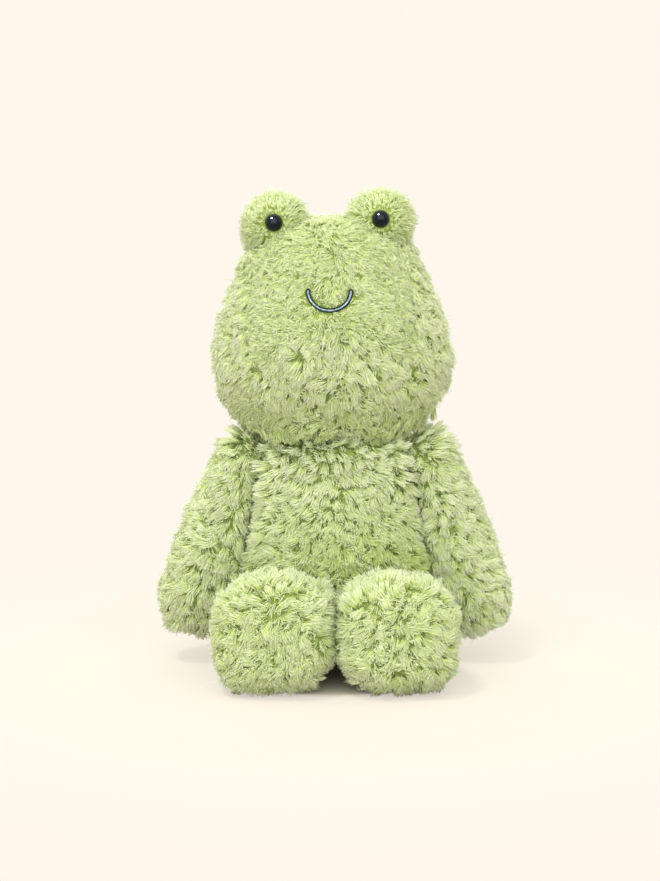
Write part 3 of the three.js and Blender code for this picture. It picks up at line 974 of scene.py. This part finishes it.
def mouth_satin():
    """Slanting stitches side by side, which lie across the smile and dip in at its edges."""
    stitches = []
    for turn in np.linspace(-math.pi, 0, STITCHES):
        ahead = np.array([-math.sin(turn), math.cos(turn)]) * 0.12
        path, ups = [], []
        for s in np.linspace(-1, 1, 7):
            r = MOUTH_RADIUS + s * MOUTH_HALF
            x, z = r * math.cos(turn) + ahead[0] * s, r * math.sin(turn) + ahead[1] * s
            place, normal = on_face(x, z, -1.5 + 0.95 * math.sqrt(1 - 0.85 * s * s))
            path.append(place)
            ups.append(normal)
        stitches.append(rope(path, 0.25, np.array(ups) + (0.01, 0, 0)))
    fitting("mouth_satin", stitches, SATIN, "thread", "mouth_embroidery")


def mouth_edging():
    """Two plies twisted round each other, all along the smile's outline."""
    reach = MOUTH_HALF + 0.3
    outer, inner = MOUTH_RADIUS + reach, MOUTH_RADIUS - reach
    outline = arc(0, outer, -math.pi, 0, 240)
    outline += arc(MOUTH_RADIUS, reach, 0, math.pi, 26)[1:-1]
    outline += arc(0, inner, 0, -math.pi, 210)
    outline += arc(-MOUTH_RADIUS, reach, 0, math.pi, 26)[1:-1]
    places = [on_face(x, z, -0.95) for x, z in outline]
    line, ups = np.array([p for p, _ in places]), np.array([n for _, n in places])
    way = unit(np.roll(line, -1, 0) - np.roll(line, 1, 0))
    aside = np.cross(way, ups)
    route = np.concatenate([[0], np.cumsum(np.linalg.norm(np.diff(line, axis=0), axis=1))])
    whole = route[-1] + np.linalg.norm(line[0] - line[-1])
    twists = round(route[-1] / PLY_TWIST)
    plies = []
    for start in (0, math.pi):
        angle = (TURN * twists * route / whole + start)[:, None]
        ply = line + (aside * np.cos(angle) + ups * np.sin(angle)) * 0.26
        plies.append(rope(ply, 0.33, ups, closed=True))
    fitting("mouth_edging", plies, EDGING, "thread")


# ---------- eyes and their bumps


def lathed(profile, centre, around=64):
    """A body turned about the front-to-back axis, on which its (radius, depth) pairs end."""
    turn = TURN * np.arange(around) / around
    rings = [
        np.stack([r * np.cos(turn), np.full(around, y), r * np.sin(turn)], -1)
        for r, y in profile[1:-1]
    ]
    points = np.vstack(rings + [[[0, profile[0][1], 0]], [[0, profile[-1][1], 0]]]) + centre
    return points, skin(len(rings), around)


def eye_piece(side, k):
    """A safety eye: a dome with a flat back, and a ribbed shank that goes through the skin."""
    quarter = np.linspace(0, math.pi / 2, 20)
    profile = [(EYE_RADIUS * math.sin(t), -EYE_RADIUS * math.cos(t)) for t in quarter]
    profile += [(4.93, 0.12), (4.8, 0.15), (1.75, 0.16)]
    for rib in range(4):
        top = 1.3 + 2.6 * rib
        profile += [(1.7, top), (2.05, top + 1.2), (2.1, top + 1.35), (1.7, top + 1.5)]
    profile += [(1.7, 12.4), (1.3, 12.9), (0.85, 13), (0, 13)]
    body = lathed(profile, EYE * (k, 1, 1))
    return fitting(f"{side}_eye_bead", [body], BEAD, "eye_plastic", f"{side}_eye")


def catchlight(beads):
    """A small lamp that lights the eyes alone and gives them their highlight."""
    group = bpy.data.collections.new("Eyes")
    for bead in beads:
        group.objects.link(bead)
    lamp = sun("Catchlight", 15, 15, (-0.4, -0.26, 0.87))
    lamp.light_linking.receiver_collection = group
    lamp.light_linking.blocker_collection = group


def bump_pieces(side, k, under_bump):
    """An eye bump and its eye, whose bead is returned."""
    middle, eye = BUMP * (k, 1, 1), EYE * (k, 1, 1)

    def eye_gap(p):
        """How far points of the bump's front lie from the eye's middle, seen from ahead."""
        return np.hypot(p[:, 0] - eye[0], p[:, 2] - eye[2]) + 100 * (p[:, 1] > middle[1])

    def depth(p):
        return 1.9 + 1.7 * smoothstep(8, 14, eye_gap(p))

    obj = backing(
        f"{side}_bump_backing",
        [inset(*sphere(middle, 2 * BUMP_RADII), depth)],
        [inset(*HEAD_FORM, 4.2)],
        voxel=1.2,
    )

    def keep(p, n):
        return (distance(p, under_bump) > 0) & (eye_gap(p) > TUFT_OFF_EYE)

    def comb(p, n):
        back = smoothstep(middle[1] - 2, middle[1] + 16, p[:, 1])[:, None]
        return unit(p - eye) * (1 - back) + np.array([0, 0.5, -0.6]) * back

    def tone(p, n):
        return 0.35 - 0.45 * (1 - smoothstep(4.5, 7, eye_gap(p))) * (p[:, 2] > eye[2] - 1)

    pile(
        f"{side}_bump_pile", "head", obj,
        spacing=lambda p, n: 1.5 + 0.7 * smoothstep(6, 14, eye_gap(p)), smallest=1.45,
        comb=comb,
        lift=lambda p, n: 1.3 - 0.6 * smoothstep(5, 11, eye_gap(p)),
        length=lambda p, n: 2.3 + 3.6 * smoothstep(5, 13, eye_gap(p)),
        tone=tone,
        keep=keep, drop=lambda p: eye_gap(p) < STRAND_OFF_EYE, seed=300 + k, post=leaned,
        thick=0.32, each=18, loose=1.8, swirl=0.5, ragged=0.3,
    )
    move_to(obj.data, leaned(points_of(obj.data)))
    dressed(obj, "head", 0.9, f"{side}_eye_bump_skin", f"{side}_eye_bump_stuffing")
    washer = bpy.data.objects[f"{side}_eye_washer"]
    washer.data.materials.clear()
    washer.data.materials.append(WASHER)
    return eye_piece(side, k)


# ---------- head


def head_pieces():
    others = ("torso", "left_arm", "right_arm")

    def depth(p):
        off = beside(leaned(p), *others)
        made = COARSE + (FINE - COARSE) * face_share(p) - (COARSE - FLAT) * pressed(off)
        made = made - 3.4 * creased(off) * (1 - smoothstep(36, 50, np.abs(p[:, 0])))
        return made - 0.6 * (1 - smoothstep(1.5, 4.5, mouth_gap(p)))

    obj = backing(
        "head_backing", [inset(*HEAD_FORM, depth)], [sphere(NECK, (2 * NECK_CUP,) * 3)]
    )

    def in_bump(p):
        """How far out points lie from a bump's middle: 1 on its outside."""
        out = [np.linalg.norm((p - BUMP * (k, 1, 1)) / BUMP_RADII, axis=1) for _, k in SIDES]
        return np.min(out, 0)

    def keep(p, n):
        neck = np.linalg.norm(p - NECK, axis=1)
        return (in_bump(p) > 0.84) & (neck > 21) & (mouth_gap(p) > TUFT_OFF_MOUTH)

    def on_mouth(p):
        return mouth_gap(p) < STRAND_OFF_MOUTH

    def press(p):
        return pressed(beside(leaned(p), *others))

    def crease(p):
        return creased(beside(leaned(p), *others))

    def rim(p):
        """1 on the head's underside over the shoulders."""
        return crease(p) * smoothstep(24, 38, np.abs(p[:, 0])) * (p[:, 2] < HEAD_BASE + 20)

    def comb(p, n):
        x, y, z = (p - (0, AXIS_Y, HEAD_BASE)).T
        face = face_share(p)
        front = 1 - smoothstep(-12, 22, y)
        x = x + 7 * waves(p, 24, 8)
        out = 1.1 * np.tanh(x / 13) * face + 0.95 * np.tanh(x / 36) * (1 - face)
        under = 1 - smoothstep(4, 24, z)
        wide = smoothstep(26, 44, np.abs(x))
        fall = (0.72 - 0.38 * face) * (1 - 0.9 * under * (1 - wide)) + 0.4 * under * wide
        out = out * (0.35 + 0.65 * front) * (1 - 1.3 * under * wide)
        return np.stack([out, 0.3 - 0.6 * front, -fall], -1)

    def lift(p, n):
        middle = 1 - smoothstep(36, 46, np.abs(p[:, 0]))
        return 0.6 - 0.3 * press(p) + 0.3 * crease(p) * middle

    def length(p, n):
        return LONG - 4.4 * press(p) + (2 + 2.5 * smoothstep(20, 40, p[:, 0])) * rim(p)

    def reach(p):
        return 1 - 0.5 * face_share(p) - 0.5 * press(p)

    def free(p, n):
        return keep(p, n) & (press(p) < 0.1) & (face_share(p) < 0.3)

    pile(
        "head_pile", "head", obj,
        spacing=APART, smallest=CLOSEST,
        comb=comb, lift=lift, length=length,
        # painted shade: darker towards the underside of the head, under the chin
        tone=lambda p, n: 0.74 - 1.1 * (1 - smoothstep(4, 38, p[:, 2] - HEAD_BASE)),
        keep=lambda p, n: keep(p, n) & (face_share(p) < 0.5), drop=on_mouth, seed=200, post=leaned,
    )
    pile(
        "face_pile", "head", obj,
        spacing=2.6, smallest=2.3,
        comb=comb, lift=0.3, length=6.4,
        # painted shade: darker towards the top of the head, where the key light falls strongest
        tone=lambda p, n: 0.5 - 0.5 * smoothstep(96, 116, p[:, 2] - HEAD_BASE),
        keep=lambda p, n: keep(p, n) & (face_share(p) > 0.4), drop=on_mouth, seed=230, post=leaned,
        thick=0.35, each=23, loose=1.8, swirl=0.7, ragged=0.15,
    )
    undercoat("head", obj, 250, keep, leaned, reach, on_mouth)
    wisps("head", obj, 270, free, leaned)
    move_to(obj.data, leaned(points_of(obj.data)))
    dressed(obj, "head", 0.85, "head_skin", "head_stuffing")

    under_bump = tree_of(inset(*HEAD_FORM, 2.0))
    catchlight([bump_pieces(side, k, under_bump) for side, k in SIDES])
    mouth_satin()
    mouth_edging()


# ---------- arms


def arm_pieces(side, k):
    body, flip = f"{side}_arm", np.array([k, 1, 1])
    start, axis = SHOULDER * flip, ARM_AXIS * flip
    across = np.array([math.cos(SPLAY), 0, math.sin(SPLAY)]) * flip

    def depth(p):
        off = beside(p, "torso")
        hand = smoothstep(85, 112, (p - SHOULDER) @ ARM_AXIS)
        return COARSE - (COARSE - FLAT) * pressed(off) + 2.4 * hand

    points, faces = inset(*ARM_FORM, depth)
    points = clear_of(points, TREES["torso"], 1.9)
    ball = sphere(start, (2 * SHOULDER_BALL,) * 3)
    obj = backing(f"{body}_backing", [mirrored((points, faces), k), ball])

    def keep(p, n):
        return distance(p, TREES["torso"]) > -0.5

    def under(p, n):
        return distance(p, TREES["torso"]) > -10

    def press(p):
        return pressed(beside(p, "torso"))

    def crease(p):
        return creased(beside(p, "head")) * (1 - smoothstep(54, 61, np.abs(p[:, 0])))

    def comb(p, n):
        q = p - start
        aside = across * (0.62 * np.tanh((q @ across) / 11) + 0.12)[:, None]
        end = smoothstep(75, 108, q @ axis)
        return axis * 0.85 + aside + np.array([0, -0.2, -0.5]) * end[:, None]

    def length(p, n):
        inside = 1.3 * creased(beside(p, "torso"))
        return 8.4 - 4.6 * press(p) + 1.2 * crease(p) + inside

    pile(
        f"{body}_pile", body, obj,
        spacing=lambda p, n: APART + 0.6 * press(p), smallest=CLOSEST,
        comb=comb,
        lift=lambda p, n: 0.56 - 0.32 * press(p) + 0.3 * crease(p),
        length=length,
        # painted shade: the right arm, nearer the key light, deeper in tone than the left, and both
        # darker where they press on the torso
        tone=lambda p, n: 0.66 + 0.12 * k - 0.2 * press(p),
        keep=keep, seed=400 + k, post=clamp_floor,
    )
    undercoat(body, obj, 450 + k, under, clamp_floor, lambda p: 1 - press(p))
    wisps(body, obj, 470 + k, lambda p, n: keep(p, n) & (press(p) < 0.1), clamp_floor)
    dressed(obj, body, 0.8, f"{body}_skin", f"{body}_stuffing")


# ---------- legs


def leg_pieces(side, k):
    body, flip = f"{side}_leg", np.array([k, 1, 1])
    other = "right_leg" if k > 0 else "left_leg"
    start, foot, axis = HIP * flip, FOOT * flip, LEG_AXIS * flip
    sole = foot + axis * SOLE

    def depth(p):
        off = beside(p, "right_leg")
        ahead = smoothstep(8, 24, (p - FOOT) @ LEG_AXIS)
        between = (1 - 0.5 * k) * (1 - smoothstep(6, 24, np.abs(p[:, 0])))
        toe = (1 - smoothstep(2, 24, p[:, 2])) * (1 + between)
        return COARSE - (COARSE - FLAT) * pressed(off) + (1.6 + 2.4 * toe) * ahead

    ball = sphere(start, (2 * (THIGH_BALL - COARSE),) * 3)
    obj = backing(f"{body}_backing", [mirrored(inset(*LEG_FORM, depth), k), ball], floor=2.0)

    def in_pocket(p):
        """1 on the part of the thigh that turns in the torso."""
        return 1 - smoothstep(20, 34, (p - start) @ axis + 0.25 * (p[:, 2] - HIP[2]))

    def on_sole(p):
        return smoothstep(14, 24, (p - foot) @ axis)

    def under(p):
        """1 on the side that the frog sits on."""
        return 1 - smoothstep(3.5, 8.0, p[:, 2])

    def top(p):
        return smoothstep(0.35, 0.9, (p[:, 2] - FOOT[2]) / 33) * (1 - on_sole(p))

    def notch(p):
        """1 low down between the feet, where they leave a dark gap."""
        return (1 - smoothstep(5, 17, np.abs(p[:, 0] + 2.5))) * (1 - smoothstep(16, 32, p[:, 2]))

    def inner(p):
        """1 high up between the feet, where their pile meets over the groove."""
        return (1 - smoothstep(9, 20, np.abs(p[:, 0]))) * smoothstep(34, 46, p[:, 2])

    def press(p):
        near = pressed(beside(p, other)) * (1 - 0.9 * smoothstep(34, 50, p[:, 2]))
        return np.maximum(near, 0.9 * notch(p))

    def hidden(p):
        return np.maximum(in_pocket(p), press(p))

    def comb(p, n):
        face = on_sole(p)[:, None]
        away = unit(p - (sole - axis * 6 + np.array([0, 0, 13])))
        down = np.array([0.25 * k, 0, -0.8])
        ahead = unit(p - (sole - axis * 10)) + np.array([0, 0, 0.1])
        return (away * 1.1 + down * 0.7) * face + ahead * (1 - face)

    def lift(p, n):
        flat = np.maximum(np.maximum(in_pocket(p), under(p)), press(p))
        return 0.55 + 0.35 * top(p) + 0.3 * inner(p) - 0.1 * on_sole(p) - 0.3 * flat

    def length(p, n):
        short = np.maximum(in_pocket(p) * (1 - inner(p)), press(p))
        low = 1 - smoothstep(4, 16, p[:, 2])
        return LONG - 4.2 * short + 3 * inner(p) - 2.6 * on_sole(p) * low

    pile(
        f"{body}_pile", body, obj,
        spacing=lambda p, n: APART + 1.4 * in_pocket(p), smallest=CLOSEST,
        comb=comb, lift=lift, length=length,
        # painted shade: darker on the underside that the frog sits on and on the thigh inside the
        # torso's pocket
        tone=lambda p, n: 0.2 - 0.3 * under(p) - 0.25 * in_pocket(p),
        swirl=lambda p, n: 1 + 0.5 * on_sole(p),
        seed=500 + k, post=clamp_floor,
    )
    undercoat(body, obj, 550 + k, None, clamp_floor, lambda p: 1 - hidden(p))
    wisps(body, obj, 570 + k, lambda p, n: (hidden(p) < 0.1) & (p[:, 2] > 10), clamp_floor)
    dressed(obj, body, 0.85, f"{body}_skin", f"{body}_stuffing", f"{body}_sole")


torso_pieces()
head_pieces()
for side, k in SIDES:
    arm_pieces(side, k)
    leg_pieces(side, k)
